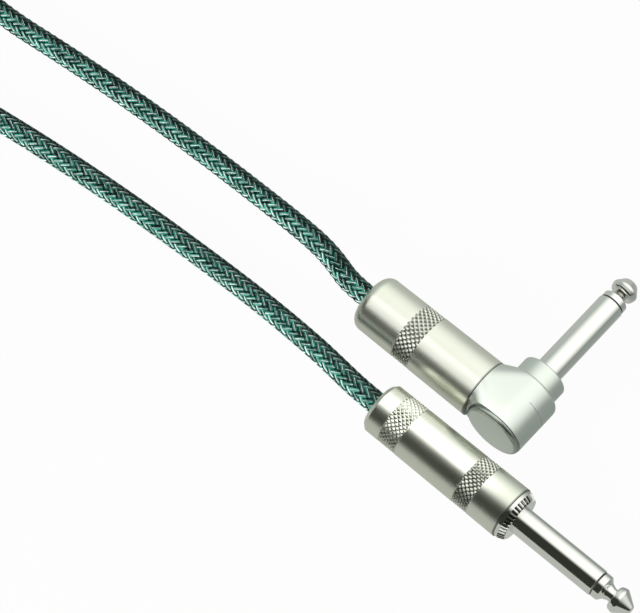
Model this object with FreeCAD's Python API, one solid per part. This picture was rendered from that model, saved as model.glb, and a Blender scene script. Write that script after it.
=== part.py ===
import FreeCAD, Part
import math
import os

# Instrument cable: a braided cable with a straight 6.35 mm plug on one end, a right-angle one on the other.
# Both plugs lie on the floor, z = 0, side by side. The cable runs back from them to a tied coil.
# X points along the straight plug to its tip, Y along the shaft of the right-angle plug, Z up.
os.makedirs("parts", exist_ok=True)

# How the plugs lie beside each other: the elbow's centre from the straight plug's front face
elbow_behind = 17.55
elbow_beside = 17.7

# Clearances
slip = 0.05
thread_clearance = 0.05
liner_clearance = 0.08
cable_hole_clearance = 0.25

# Contacts, the same in both plugs but for the length of the sleeve and the end of the tip
shaft_radius = 6.35 / 2
straight_sleeve_length = 21.4
angle_sleeve_length = 22.4
sleeve_chamfer = 0.25
thread_lead_in = 0.3
sleeve_bore = 1.9
front_bore = 2.3
front_bore_depth = 6.0
spigot_radius = 2.6
spigot_length = 1.1
rod_radius = 1.2
ring_radius = 2.95
ring_thickness = 0.35
ring_tube_length = 5.7
washer_radius = 2.8
washer_thickness = 0.8
washer_tube_length = 2.0
tip_lug_radius = 2.6
tip_lug_thickness = 0.4
rivet_radius = 1.8
rivet_thickness = 0.6
rivet_chamfer = 0.25
lug_ring_radius = 4.1
lug_thickness = 0.5
lug_width = 3.6
tongue_width = 2.4

# Tip contact, measured forward from the front end of the sleeve
collar_radius = 3.0
collar_front = 1.75
collar_edge = 0.35
waist_start = 2.6
waist_radius = 2.0
waist_bend = 0.6
neck_start = 3.7
neck_radius = 1.55
neck_bend = 0.4
neck_end = 4.3
bulb_back = 4.4
bulb_back_radius = 2.7
bulb_back_edge = 0.7
bulb_widest = 5.9
bulb_corner_radius = 3.15
bulb_bend = 0.9
angle_waist_back = 0.3
angle_bulb_back = 0.9
angle_bulb_swell = 0.1
straight_tip_length = 9.1
straight_tip_end_radius = 0.85
straight_tip_edge = 0.6
angle_tip_length = 7.4
angle_tip_end_radius = 1.6
angle_tip_edge = 1.5

# Straight plug: serrated flange and barrel, measured back from the front face
flange_thickness = 2.25
flange_radius = 6.0
flange_band = 0.8
flange_front_radius = 5.5
flange_edge = 0.3
tooth_count = 38
tooth_root_radius = 5.45
tooth_gap_share = 0.72
boss_radius = 5.2
boss_length = 6.0
straight_barrel_length = 37.5
straight_rear_radius = 6.08
straight_front_radius = 6.25
straight_bevel = 0.95
straight_rear_face_radius = 5.25
straight_rear_edge = 0.3
straight_bore = 4.9
straight_end_wall = 3.0
straight_thread_depth = 6.75

# Right-angle plug: elbow and barrel, measured from the centre of the elbow
drum_radius = 7.15
drum_rear = 5.5
drum_front = 8.0
drum_edge = 0.35
nose_radius = 5.5
nose_front = 11.8
nose_edge = 0.7
neck_outer_radius = 7.05
neck_length = 7.6
neck_bore = 5.0
elbow_boss_radius = 5.9
elbow_boss_length = 5.4
chamber_radius = 5.2
chamber_front = 5.4
press_flange_radius = 4.8
press_flange_thickness = 1.2
press_body_radius = 3.9
parting_line_at = 1.7
parting_line_width = 0.18
parting_line_depth = 0.12
parting_line_from = 3.2
parting_cutter_above = 1.0
cap_radius = 7.05
cap_thickness = 1.2
cap_edge = 0.9
cap_spigot_depth = 1.5
angle_barrel_length = 33.0
angle_rear_radius = 6.85
angle_front_radius = 7.05
angle_shoulder = 2.4
angle_bore = 5.6
angle_end_wall = 3.4
angle_thread_depth = 6.4

# Insulating liner in each barrel
liner_wall = 0.4
liner_front_gap = 1.3
liner_rear_gap = 0.6

# Cable and what the plugs hold of it
cable_radius = 5.1 / 2
core_radius = 1.15
wire_radius = 0.4
shield_tail_radius = 0.45
shield_tail_offset = 2.05
drop_radius = 0.75
drop_end_radius = 0.35
drop_length = 2.0
clamp_wall = 0.55
clamp_length = 4.5
clamp_mouth = 3.0
clamp_from_jacket_end = 1.0
insulation_to_tongue = 0.4
wire_on_tongue = 1.6
tongue_from_washer = 0.25
straight_tongue_length = 7.0
straight_tongue_level = 1.9
straight_tongue_slope = 1.7
straight_conductors = 5.9
straight_tail_length = 3.7
straight_strip_level = 5.3
straight_strip_slope = 1.1
thread_travel = 5.0
cable_straight_past_travel = 1.7

# Terminals in the right-angle plug, measured back from the centre of the elbow along the neck
angle_tongue_root = 1.9
angle_tongue_level_to = 4.0
angle_tongue_low_from = 5.4
angle_tongue_to = 9.0
angle_strip_root = 3.0
angle_strip_level_to = 9.5
angle_strip_low_from = 11.0
angle_jacket_at = 17.5
angle_tail_length = 3.3

# Coil of the cable that is put away
coil_x = -235.5
coil_y = -11.0
coil_inner = 20.8
coil_outer = 40.4
coil_layer_rise = 5.6
coil_layers = 4
coil_steps_per_layer = 14
coil_enters_at = -78.0
coil_leaves_at = 40.0
coil_full_turns = 13
coil_samples_per_turn = 48
tie_thickness = 0.7
tie_gap = 0.3
tie_corner = 2.0
tie_under_coil = 0.1
tie_width = 10.0
tie_tail_length = 9.0

# Straight runs where the leads leave the plugs and meet the coil
lead_first_run = 6.5
straight_last_run = 21.0
angle_last_run = 12.7

# Where the plugs lie: the middle of the box round both is at x = 0, y = 0, and each rests on its widest round
behind_elbow = neck_length + angle_barrel_length + thread_travel + cable_straight_past_travel
ahead_of_face = straight_sleeve_length + straight_tip_length
beyond_elbow = nose_front + angle_sleeve_length + angle_tip_length
straight_x = (behind_elbow + elbow_behind - ahead_of_face) / 2
angle_x = straight_x - elbow_behind
straight_y = (straight_front_radius - elbow_beside - beyond_elbow) / 2
angle_y = straight_y + elbow_beside
straight_z = straight_front_radius
angle_z = drum_radius

# Points and shares closer than this are the same
same = 1e-6

x_axis = FreeCAD.Vector(1, 0, 0)
z_axis = FreeCAD.Vector(0, 0, 1)
centre = FreeCAD.Vector(0, 0, 0)


def arc_between(start, corner, end):
    """The arc that leaves start towards corner and reaches end from corner, both equally far from it."""
    middle = (start + end) * 0.5
    half_chord = (end - start).Length / 2
    reach = (corner - middle).Length
    radius = (corner - start).Length * half_chord / reach
    sagitta = radius - math.sqrt(radius**2 - half_chord**2)
    return Part.Arc(start, middle + (corner - middle) * (sagitta / reach), end).toShape()


def outline(corners):
    """A closed wire through (x, y, bend) corners, each rounded to its bend radius."""
    rounded = []
    for i, (x, y, bend) in enumerate(corners):
        here = FreeCAD.Vector(x, y, 0)
        before = FreeCAD.Vector(corners[i - 1][0], corners[i - 1][1], 0) - here
        x_next, y_next, bend_next = corners[(i + 1) % len(corners)]
        after = FreeCAD.Vector(x_next, y_next, 0) - here
        half_turn = (math.pi - before.getAngle(after)) / 2
        reach = bend * math.tan(half_turn)
        rounded.append((here + before.normalize() * reach, here, here + after.normalize() * reach, bend))
    edges = []
    for i, (start, corner, end, bend) in enumerate(rounded):
        if bend > 0:
            edges.append(arc_between(start, corner, end))
        following = rounded[(i + 1) % len(rounded)][0]
        if (following - end).Length > same:
            edges.append(Part.LineSegment(end, following).toShape())
    return Part.Wire(edges)


def turned(corners):
    """A solid turned about the X axis from an outline of (x, radius, bend) corners."""
    return Part.Face(outline(corners)).revolve(centre, x_axis, 360)


def tube(x_from, x_to, inner, outer):
    """A plain tube along the X axis."""
    return turned([(x_from, inner, 0), (x_to, inner, 0), (x_to, outer, 0), (x_from, outer, 0)])


def rod(x_from, x_to, radius):
    """A plain round bar along the X axis."""
    return Part.makeCylinder(radius, x_to - x_from, FreeCAD.Vector(x_from, 0, 0), x_axis)


def bent_strip(route, thickness, width):
    """A strip of sheet metal that follows an (x, height) route in the XZ plane, with mitred bends."""
    sides = []
    for i, (x, z) in enumerate(route):
        x0, z0 = route[max(i - 1, 0)]
        x1, z1 = route[min(i + 1, len(route) - 1)]
        before = math.atan2(z - z0, x - x0) if i > 0 else math.atan2(z1 - z, x1 - x)
        after = math.atan2(z1 - z, x1 - x) if i < len(route) - 1 else before
        across = (before + after) / 2 + math.pi / 2
        half = thickness / 2 / math.cos((after - before) / 2)
        x_half = half * math.cos(across)
        z_half = half * math.sin(across)
        sides.append((FreeCAD.Vector(x + x_half, -width / 2, z + z_half),
                      FreeCAD.Vector(x - x_half, -width / 2, z - z_half)))
    points = [above for above, below in sides] + [below for above, below in reversed(sides)]
    return Part.Face(Part.makePolygon(points + points[:1])).extrude(FreeCAD.Vector(0, width, 0))


def pipe(edges, start, heading, radius):
    """A round tube along a tangent chain of edges."""
    section = Part.Wire([Part.Circle(start, heading, radius).toShape()])
    return Part.Wire(edges).makePipeShell([section], True, False)


def save(node, shape):
    """Writes one node and says how large it is."""
    shape = shape.removeSplitter() if len(shape.Solids) == 1 else shape
    shape.exportStep("parts/" + node + ".step")
    print(node, "solids", len(shape.Solids), "valid", shape.isValid(), "mm3", round(shape.Volume, 2))


# The contacts, turned about the X axis, with the front end of the sleeve at x = 0
def tip_contact(rod_length, tip_length, end_radius, end_edge, waist_back, bulb_back_by, swell):
    """The tip and the rod behind it that runs through the sleeve, one turned piece."""
    return turned([
        (-rod_length, 0, 0), (-rod_length, rod_radius, 0), (ring_thickness, rod_radius, 0),
        (ring_thickness, collar_radius, 0), (collar_front, collar_radius, collar_edge),
        (waist_start - waist_back, waist_radius, waist_bend),
        (neck_start - bulb_back_by, neck_radius, neck_bend), (neck_end - bulb_back_by, neck_radius, 0),
        (bulb_back - bulb_back_by, bulb_back_radius + swell, bulb_back_edge),
        (bulb_widest - bulb_back_by, bulb_corner_radius + swell, bulb_bend),
        (tip_length, end_radius, end_edge), (tip_length, 0, 0)])


def front_insulator():
    """The ring between tip and sleeve, and its tube in the mouth of the sleeve."""
    inner = rod_radius + slip
    tube_radius = front_bore - slip
    return turned([
        (-ring_tube_length, inner, 0), (-ring_tube_length, tube_radius, 0), (0, tube_radius, 0),
        (0, ring_radius, 0), (ring_thickness, ring_radius, 0), (ring_thickness, inner, 0)])


# What is stacked on the rod behind the spigot of the sleeve, with the end of that spigot at x = 0
def rear_insulator():
    """The shouldered washer that holds the rod off the sleeve at the back."""
    inner = rod_radius + slip
    tube_radius = sleeve_bore - slip
    return turned([
        (-washer_thickness, inner, 0), (-washer_thickness, washer_radius, 0), (0, washer_radius, 0),
        (0, tube_radius, 0), (washer_tube_length, tube_radius, 0), (washer_tube_length, inner, 0)])


stack_lug = -washer_thickness - tip_lug_thickness
stack_end = stack_lug - rivet_thickness


def rod_rivet():
    """The collar staked on the end of the rod."""
    return turned([
        (stack_end, rod_radius + slip, 0), (stack_end, rivet_radius - rivet_chamfer, 0),
        (stack_end + rivet_chamfer, rivet_radius, 0), (stack_lug, rivet_radius, 0),
        (stack_lug, rod_radius + slip, 0)])


def clamp_band(x_rear):
    """The cable clamp of the ground lug: a band round the jacket, open at the top."""
    inner = cable_radius + slip
    band = tube(x_rear, x_rear + clamp_length, inner, inner + clamp_wall)
    corner = FreeCAD.Vector(x_rear, -clamp_mouth / 2, 0)
    mouth = Part.makeBox(clamp_length, clamp_mouth, cable_radius * 2, corner)
    return band.cut(mouth)


def solder_drop(x_start, offset, flat):
    """A tapered drop of solder from the wire's end at x_start, round z = offset, flat against z = flat."""
    base = FreeCAD.Vector(x_start, 0, offset)
    drop = Part.makeCone(drop_radius, drop_end_radius, drop_length, base, x_axis)
    side = drop_radius * 4
    below = flat - side if flat < offset else flat
    return drop.cut(Part.makeBox(drop_length, side, side, FreeCAD.Vector(x_start, -side / 2, below)))


def core_and_wire(jacket_end, core_end, wire_end):
    """The inner conductor: its insulation from the jacket's end, then bare wire."""
    return rod(jacket_end, core_end, core_radius).fuse(rod(core_end, wire_end, wire_radius))


def barrel(front, length, rear_radius, front_radius, rear_corners, bore, thread_bore, thread_depth, end_wall):
    """A turned barrel with a threaded mouth, a plain bore and a cable hole in its end wall."""
    hole = cable_radius + cable_hole_clearance
    rear = front - length
    return turned(
        [(rear, hole, 0)] + rear_corners + [
            (front, front_radius, 0), (front, thread_bore, 0), (front - thread_depth, thread_bore, 0),
            (front - thread_depth, bore, 0), (rear + end_wall, bore, 0), (rear + end_wall, hole, 0)])


def liner(front, rear, bore):
    """The insulating tube that lines a barrel."""
    outer = bore - liner_clearance
    return tube(rear, front, outer - liner_wall, outer)


def in_straight_plug(shape):
    shape.translate(FreeCAD.Vector(straight_x, straight_y, straight_z))
    return shape


def in_angle_plug(shape):
    shape.translate(FreeCAD.Vector(angle_x, angle_y, angle_z))
    return shape


def along_shaft(shape):
    """Turns a piece made along X to lie along the shaft of the right-angle plug."""
    shape.rotate(centre, z_axis, 90)
    return in_angle_plug(shape)


def onto_side(shape):
    """Turns what was made below the cable's axis to lie beside it, towards the shaft."""
    shape.rotate(centre, x_axis, 90)
    return shape


# Straight plug: sleeve contact with its serrated flange and threaded boss
boss_rear = -flange_thickness - boss_length
spigot_rear = boss_rear - spigot_length
teeth_rear = -flange_thickness + flange_band
sleeve = turned([
    (spigot_rear, sleeve_bore, 0), (spigot_rear, spigot_radius, 0), (boss_rear, spigot_radius, 0),
    (boss_rear, boss_radius - thread_lead_in, 0), (boss_rear + thread_lead_in, boss_radius, 0),
    (-flange_thickness, boss_radius, 0), (-flange_thickness, flange_radius, 0),
    (teeth_rear, flange_radius, 0), (-flange_edge, flange_front_radius, 0),
    (0, flange_front_radius - flange_edge, 0),
    (0, shaft_radius, 0), (straight_sleeve_length - sleeve_chamfer, shaft_radius, 0),
    (straight_sleeve_length, shaft_radius - sleeve_chamfer, 0), (straight_sleeve_length, front_bore, 0),
    (straight_sleeve_length - front_bore_depth, front_bore, 0),
    (straight_sleeve_length - front_bore_depth, sleeve_bore, 0)])
tooth_pitch = 2 * math.pi * flange_radius / tooth_count
cutter_top = flange_radius + flange_edge
half_gap = tooth_pitch * tooth_gap_share / 2
gap = Part.Face(Part.makePolygon([
    FreeCAD.Vector(teeth_rear, 0, tooth_root_radius), FreeCAD.Vector(teeth_rear, half_gap, cutter_top),
    FreeCAD.Vector(teeth_rear, -half_gap, cutter_top), FreeCAD.Vector(teeth_rear, 0, tooth_root_radius)]))
gap = gap.extrude(FreeCAD.Vector(-teeth_rear, 0, 0))
gaps = []
for i in range(tooth_count):
    turned_gap = gap.copy()
    turned_gap.rotate(centre, x_axis, i * 360 / tooth_count)
    gaps.append(turned_gap)
save("straight_sleeve_contact", in_straight_plug(sleeve.cut(gaps)))

# Straight plug: what is stacked on and in the sleeve contact
rivet_rear = spigot_rear + stack_end
tip = tip_contact(
    straight_sleeve_length - rivet_rear, straight_tip_length, straight_tip_end_radius, straight_tip_edge,
    0, 0, 0)
tip.translate(FreeCAD.Vector(straight_sleeve_length, 0, 0))
save("straight_tip_contact", in_straight_plug(tip))
ring = front_insulator()
ring.translate(FreeCAD.Vector(straight_sleeve_length, 0, 0))
save("straight_front_insulator", in_straight_plug(ring))
for node, piece in (("straight_rear_insulator", rear_insulator()), ("straight_rod_rivet", rod_rivet())):
    piece.translate(FreeCAD.Vector(spigot_rear, 0, 0))
    save(node, in_straight_plug(piece))
straight_lug_x = spigot_rear + stack_lug
tongue_height = tip_lug_radius - tip_lug_thickness / 2
tongue_low = wire_radius + slip + tip_lug_thickness / 2
tip_lug = tube(straight_lug_x, straight_lug_x + tip_lug_thickness, rod_radius + slip, tip_lug_radius)
tongue_bend = straight_lug_x - straight_tongue_level
straight_tongue_end = straight_lug_x - straight_tongue_length
tongue = bent_strip([
    (straight_lug_x + tip_lug_thickness / 2, tongue_height), (tongue_bend, tongue_height),
    (tongue_bend - straight_tongue_slope, tongue_low), (straight_tongue_end, tongue_low)],
    tip_lug_thickness, tongue_width)
save("straight_tip_terminal", in_straight_plug(tip_lug.fuse(tongue)))

# Straight plug: ground lug with its cable clamp, and the cable's end in it
straight_jacket_end = straight_tongue_end - straight_conductors
straight_clamp_rear = straight_jacket_end - clamp_from_jacket_end - clamp_length
lug_low = cable_radius + slip + lug_thickness / 2
lug_high = washer_radius + tongue_from_washer + lug_thickness / 2
strip_bend = boss_rear - straight_strip_level
ground_ring = tube(boss_rear - lug_thickness, boss_rear, spigot_radius + slip, lug_ring_radius)
ground_strip = bent_strip([
    (boss_rear - lug_thickness / 2, -lug_high), (strip_bend, -lug_high),
    (strip_bend - straight_strip_slope, -lug_low), (straight_clamp_rear, -lug_low)], lug_thickness, lug_width)
straight_clamp = clamp_band(straight_clamp_rear)
jacket_space = rod(straight_clamp_rear, straight_jacket_end, cable_radius + slip)
ground = ground_ring.fuse([ground_strip, straight_clamp]).cut(jacket_space)
save("straight_ground_terminal", in_straight_plug(ground))
core_end = straight_tongue_end - insulation_to_tongue
wire_end = straight_tongue_end + wire_on_tongue
straight_tail_end = straight_jacket_end + straight_tail_length
save("straight_core_wire", in_straight_plug(core_and_wire(straight_jacket_end, core_end, wire_end)))
tail = rod(straight_jacket_end, straight_tail_end, shield_tail_radius)
tail.translate(FreeCAD.Vector(0, 0, -shield_tail_offset))
save("straight_shield_tail", in_straight_plug(tail))
drops = Part.makeCompound([
    solder_drop(wire_end, 0, wire_radius + slip),
    solder_drop(straight_tail_end, -shield_tail_offset, -cable_radius - slip)])
save("straight_solder_joints", in_straight_plug(drops))

# Straight plug: barrel, screwed on the boss against the flange, and its liner
straight_rear = -flange_thickness - straight_barrel_length
straight_cable_rear = straight_rear - thread_travel - cable_straight_past_travel
save("straight_barrel", in_straight_plug(barrel(
    -flange_thickness, straight_barrel_length, straight_rear_radius, straight_front_radius,
    [(straight_rear, straight_rear_face_radius, straight_rear_edge),
     (straight_rear + straight_bevel, straight_rear_radius, 0)],
    straight_bore, boss_radius + thread_clearance, straight_thread_depth, straight_end_wall)))
save("straight_liner", in_straight_plug(liner(
    -flange_thickness - straight_thread_depth - liner_front_gap,
    straight_rear + straight_end_wall + liner_rear_gap, straight_bore)))
save("straight_cable_end", in_straight_plug(rod(straight_cable_rear, straight_jacket_end, cable_radius)))

# Right-angle plug: cast elbow. The drum lies along the shaft, the neck along the barrel.
drum = turned([
    (-drum_rear, 0, 0), (-drum_rear, drum_radius, 0), (drum_front, drum_radius, drum_edge),
    (drum_front, nose_radius, 0), (nose_front, nose_radius, nose_edge), (nose_front, 0, 0)])
drum.rotate(centre, z_axis, 90)
neck = rod(-neck_length, 0, neck_outer_radius)
behind_drum = Part.makeBox(
    neck_length, neck_outer_radius, neck_outer_radius * 2,
    FreeCAD.Vector(-neck_length, -drum_rear - neck_outer_radius, -neck_outer_radius))
boss = rod(-neck_length - elbow_boss_length, -neck_length, elbow_boss_radius)
chamber = rod(-drum_rear, chamber_front, chamber_radius).fuse(
    rod(chamber_front, nose_front, press_body_radius + slip))
chamber.rotate(centre, z_axis, 90)
wire_way = rod(-neck_length - elbow_boss_length, 0, neck_bore)
parting = tube(
    parting_line_at, parting_line_at + parting_line_width, drum_radius - parting_line_depth,
    drum_radius + parting_cutter_above)
parting.rotate(centre, z_axis, 90)
parting = parting.common(Part.makeBox(
    drum_radius, drum_front, drum_radius * 2, FreeCAD.Vector(parting_line_from, 0, -drum_radius)))
elbow = drum.fuse([neck.cut(behind_drum), boss]).cut([chamber, wire_way, parting])
save("angle_elbow", in_angle_plug(elbow))
cap_face = -drum_rear - cap_thickness
cap = turned([
    (cap_face, 0, 0), (cap_face, cap_radius, cap_edge), (-drum_rear, cap_radius, 0),
    (-drum_rear, chamber_radius - slip, 0), (-drum_rear + cap_spigot_depth, chamber_radius - slip, 0),
    (-drum_rear + cap_spigot_depth, 0, 0)])
save("angle_end_cap", along_shaft(cap))

# Right-angle plug: sleeve contact, pressed into the nose of the elbow from inside
press_rear = chamber_front - press_flange_thickness
angle_spigot_rear = press_rear - spigot_length
angle_sleeve_front = nose_front + angle_sleeve_length
angle_sleeve = turned([
    (angle_spigot_rear, sleeve_bore, 0), (angle_spigot_rear, spigot_radius, 0),
    (press_rear, spigot_radius, 0), (press_rear, press_flange_radius, 0),
    (chamber_front, press_flange_radius, 0), (chamber_front, press_body_radius, 0),
    (nose_front, press_body_radius, 0), (nose_front, shaft_radius, 0),
    (angle_sleeve_front - sleeve_chamfer, shaft_radius, 0),
    (angle_sleeve_front, shaft_radius - sleeve_chamfer, 0), (angle_sleeve_front, front_bore, 0),
    (angle_sleeve_front - front_bore_depth, front_bore, 0),
    (angle_sleeve_front - front_bore_depth, sleeve_bore, 0)])
save("angle_sleeve_contact", along_shaft(angle_sleeve))
angle_tip = tip_contact(
    angle_sleeve_front - angle_spigot_rear - stack_end, angle_tip_length, angle_tip_end_radius,
    angle_tip_edge, angle_waist_back, angle_bulb_back, angle_bulb_swell)
angle_tip.translate(FreeCAD.Vector(angle_sleeve_front, 0, 0))
save("angle_tip_contact", along_shaft(angle_tip))
angle_ring = front_insulator()
angle_ring.translate(FreeCAD.Vector(angle_sleeve_front, 0, 0))
save("angle_front_insulator", along_shaft(angle_ring))
for node, piece in (("angle_rear_insulator", rear_insulator()), ("angle_rod_rivet", rod_rivet())):
    piece.translate(FreeCAD.Vector(angle_spigot_rear, 0, 0))
    save(node, along_shaft(piece))

# Right-angle plug: tip and ground lugs, whose tongues lie along the neck
angle_lug_y = angle_spigot_rear + stack_lug
angle_tip_lug = tube(angle_lug_y, angle_lug_y + tip_lug_thickness, rod_radius + slip, tip_lug_radius)
angle_tip_lug.rotate(centre, z_axis, 90)
lug_middle = angle_lug_y + tip_lug_thickness / 2
angle_tongue = onto_side(bent_strip([
    (-angle_tongue_root, -lug_middle), (-angle_tongue_level_to, -lug_middle),
    (-angle_tongue_low_from, -tongue_low), (-angle_tongue_to, -tongue_low)], tip_lug_thickness, tongue_width))
save("angle_tip_terminal", in_angle_plug(angle_tip_lug.fuse(angle_tongue)))
angle_jacket_end = -angle_jacket_at
angle_clamp_rear = angle_jacket_end - clamp_from_jacket_end - clamp_length
angle_ground_ring = tube(press_rear - lug_thickness, press_rear, spigot_radius + slip, lug_ring_radius)
angle_ground_ring.rotate(centre, z_axis, 90)
ring_middle = press_rear - lug_thickness / 2
angle_strip = bent_strip([
    (-angle_strip_root, -ring_middle), (-angle_strip_level_to, -ring_middle),
    (-angle_strip_low_from, -lug_low), (angle_clamp_rear, -lug_low)], lug_thickness, lug_width)
angle_clamp = clamp_band(angle_clamp_rear)
angle_jacket_space = rod(angle_clamp_rear, angle_jacket_end, cable_radius + slip)
angle_ground = angle_ground_ring.fuse([onto_side(angle_strip), onto_side(angle_clamp)])
save("angle_ground_terminal", in_angle_plug(angle_ground.cut(angle_jacket_space)))
angle_core_end = -angle_tongue_to - insulation_to_tongue
angle_wire_end = -angle_tongue_to + wire_on_tongue
angle_tail_end = angle_jacket_end + angle_tail_length
save("angle_core_wire", in_angle_plug(core_and_wire(angle_jacket_end, angle_core_end, angle_wire_end)))
angle_tail = rod(angle_jacket_end, angle_tail_end, shield_tail_radius)
angle_tail.translate(FreeCAD.Vector(0, shield_tail_offset, 0))
save("angle_shield_tail", in_angle_plug(angle_tail))
angle_drops = Part.makeCompound([
    solder_drop(angle_wire_end, 0, -wire_radius - slip),
    solder_drop(angle_tail_end, -shield_tail_offset, -cable_radius - slip)])
save("angle_solder_joints", in_angle_plug(onto_side(angle_drops)))

# Right-angle plug: barrel, screwed on the boss of the elbow against its neck, and its liner
angle_rear = -neck_length - angle_barrel_length
angle_cable_rear = angle_rear - thread_travel - cable_straight_past_travel
save("angle_barrel", in_angle_plug(barrel(
    -neck_length, angle_barrel_length, angle_rear_radius, angle_front_radius,
    [(angle_rear, angle_rear_radius, angle_shoulder)], angle_bore, elbow_boss_radius + thread_clearance,
    angle_thread_depth, angle_end_wall)))
save("angle_liner", in_angle_plug(liner(
    -neck_length - angle_thread_depth - liner_front_gap, angle_rear + angle_end_wall + liner_rear_gap,
    angle_bore)))
save("angle_cable_end", in_angle_plug(rod(angle_cable_rear, angle_jacket_end, cable_radius)))

# Coil: four layers of turns that spiral in and out, each layer a cable's width above the last
coil_turns = coil_full_turns + ((coil_enters_at - coil_leaves_at) % 360) / 360
coil_steps = coil_layers * coil_steps_per_layer
coil_floor = cable_radius + tie_thickness + tie_under_coil


def coil_point(step):
    """The point of the cable's centre line that many quarter turns into the coil, and its heading."""
    layer = min(int(step // coil_steps_per_layer), coil_layers - 1)
    share = step / coil_steps_per_layer - layer
    inward = layer % 2 == 0
    radius = coil_outer - (coil_outer - coil_inner) * (share if inward else 1 - share)
    slope = (coil_inner - coil_outer) * (1 if inward else -1) / coil_steps_per_layer
    nearest = round(step / coil_steps_per_layer)
    from_reversal = step - nearest * coil_steps_per_layer
    at_reversal = 0 < nearest < coil_layers and abs(from_reversal) < 1
    height = nearest - 0.5 + 0.5 * math.sin(from_reversal * math.pi / 2) if at_reversal else layer
    rise = 0.25 * math.pi * math.cos(from_reversal * math.pi / 2) if at_reversal else 0
    if at_reversal and abs(from_reversal) < same:
        slope = 0
    angle = math.radians(coil_enters_at) - step / coil_steps * coil_turns * 2 * math.pi
    turn = coil_turns * 2 * math.pi / coil_steps
    point = FreeCAD.Vector(
        coil_x + radius * math.cos(angle), coil_y + radius * math.sin(angle),
        coil_floor + coil_layer_rise * height)
    heading = FreeCAD.Vector(
        slope * math.cos(angle) + radius * turn * math.sin(angle),
        slope * math.sin(angle) - radius * turn * math.cos(angle), coil_layer_rise * rise)
    return point, heading.normalize()


def biarc(start, leaving, end, arriving):
    """Two tangent arcs from start to end that keep both headings."""
    across = end - start
    both = leaving + arriving
    spread = 2 * (1 - leaving.dot(arriving))
    along = across.dot(both)
    reach = (math.sqrt(along**2 + spread * across.dot(across)) - along) / spread
    joint = (start + end + (leaving - arriving) * reach) * 0.5
    return [arc_between(start, start + leaving * reach, joint),
            arc_between(joint, end - arriving * reach, end)]


coil_in, heading_in = coil_point(0)
coil_out, heading_out = coil_point(coil_steps)
coil_start = coil_in - heading_in * (2 * cable_radius)
coil_end = coil_out + heading_out * (2 * cable_radius)
coil_edges = [Part.LineSegment(coil_start, coil_in).toShape()]
for i in range(coil_steps):
    here, heading = coil_point(i)
    there, next_heading = coil_point(i + 1)
    coil_edges += biarc(here, heading, there, next_heading)
coil_edges.append(Part.LineSegment(coil_out, coil_end).toShape())
coil = pipe(coil_edges, coil_start, heading_in, cable_radius)
save("cable_coil", coil)
coil_length = sum(edge.Length for edge in coil_edges)
coil_share = coil.Volume / (math.pi * cable_radius**2 * coil_length)
print("coil length", round(coil_length, 1), "turns", round(coil_turns, 3))
print("coil volume share", round(coil_share, 4))
sample_count = int(coil_turns * coil_samples_per_turn)
samples = [coil_point(i * coil_steps / sample_count)[0] for i in range(sample_count + 1)]
least = min(
    (samples[i] - samples[j]).Length
    for i in range(sample_count + 1) for j in range(i + coil_samples_per_turn // 3, sample_count + 1))
print("least gap of the coil to itself", round(least - 2 * cable_radius, 2))

# Tie: a strap round the bundle of turns at the far side of the coil
tie_far = coil_x - coil_outer - cable_radius - tie_gap
tie_near = coil_x - math.sqrt((coil_inner - cable_radius)**2 - (tie_width / 2)**2) + tie_gap
tie_top = coil_floor + coil_layer_rise * (coil_layers - 1) + cable_radius + tie_gap


def strap(grow):
    """The outline of the strap's inner or outer side, extruded to its width."""
    low = tie_thickness - grow
    corners = [
        (tie_far - grow, low, tie_corner), (tie_near + grow, low, tie_corner),
        (tie_near + grow, tie_top + grow, tie_corner), (tie_far - grow, tie_top + grow, tie_corner)]
    side = Part.Face(outline(corners)).extrude(FreeCAD.Vector(0, 0, tie_width))
    side.rotate(centre, x_axis, 90)
    side.translate(FreeCAD.Vector(0, coil_y + tie_width / 2, 0))
    return side


tail_start = (tie_far + tie_near) / 2
tie_tail = Part.makeBox(
    tie_tail_length, tie_width, tie_thickness,
    FreeCAD.Vector(tail_start - tie_tail_length / 2, coil_y - tie_width / 2, tie_top + tie_thickness))
save("coil_tie", strap(tie_thickness).cut(strap(0)).fuse(tie_tail))


# Leads: from each plug down to the floor and back to the coil, through points chosen by hand
def lead(node, points):
    """A tube of straight runs joined by arcs as large as the runs allow."""
    edges = []
    radii = []
    last = points[0]
    for before, here, after in zip(points, points[1:], points[2:]):
        run_in = before - here
        run_out = after - here
        half_turn = (math.pi - run_in.getAngle(run_out)) / 2
        reach = 0.45 * min(run_in.Length, run_out.Length)
        radii.append(reach / math.tan(half_turn))
        start = here + run_in.normalize() * reach
        end = here + run_out.normalize() * reach
        edges.append(Part.LineSegment(last, start).toShape())
        edges.append(arc_between(start, here, end))
        last = end
    edges.append(Part.LineSegment(last, points[-1]).toShape())
    solid = pipe(edges, points[0], (points[1] - points[0]).normalize(), cable_radius)
    length = sum(edge.Length for edge in edges)
    save(node, solid)
    runs = [round((b - a).Length, 1) for a, b in zip(points, points[1:])]
    volume_share = round(solid.Volume / (math.pi * cable_radius**2 * length), 4)
    print(node, "length", round(length, 1), "runs", runs, "radii", [round(r) for r in radii],
          "volume share", volume_share)
    return length


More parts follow.
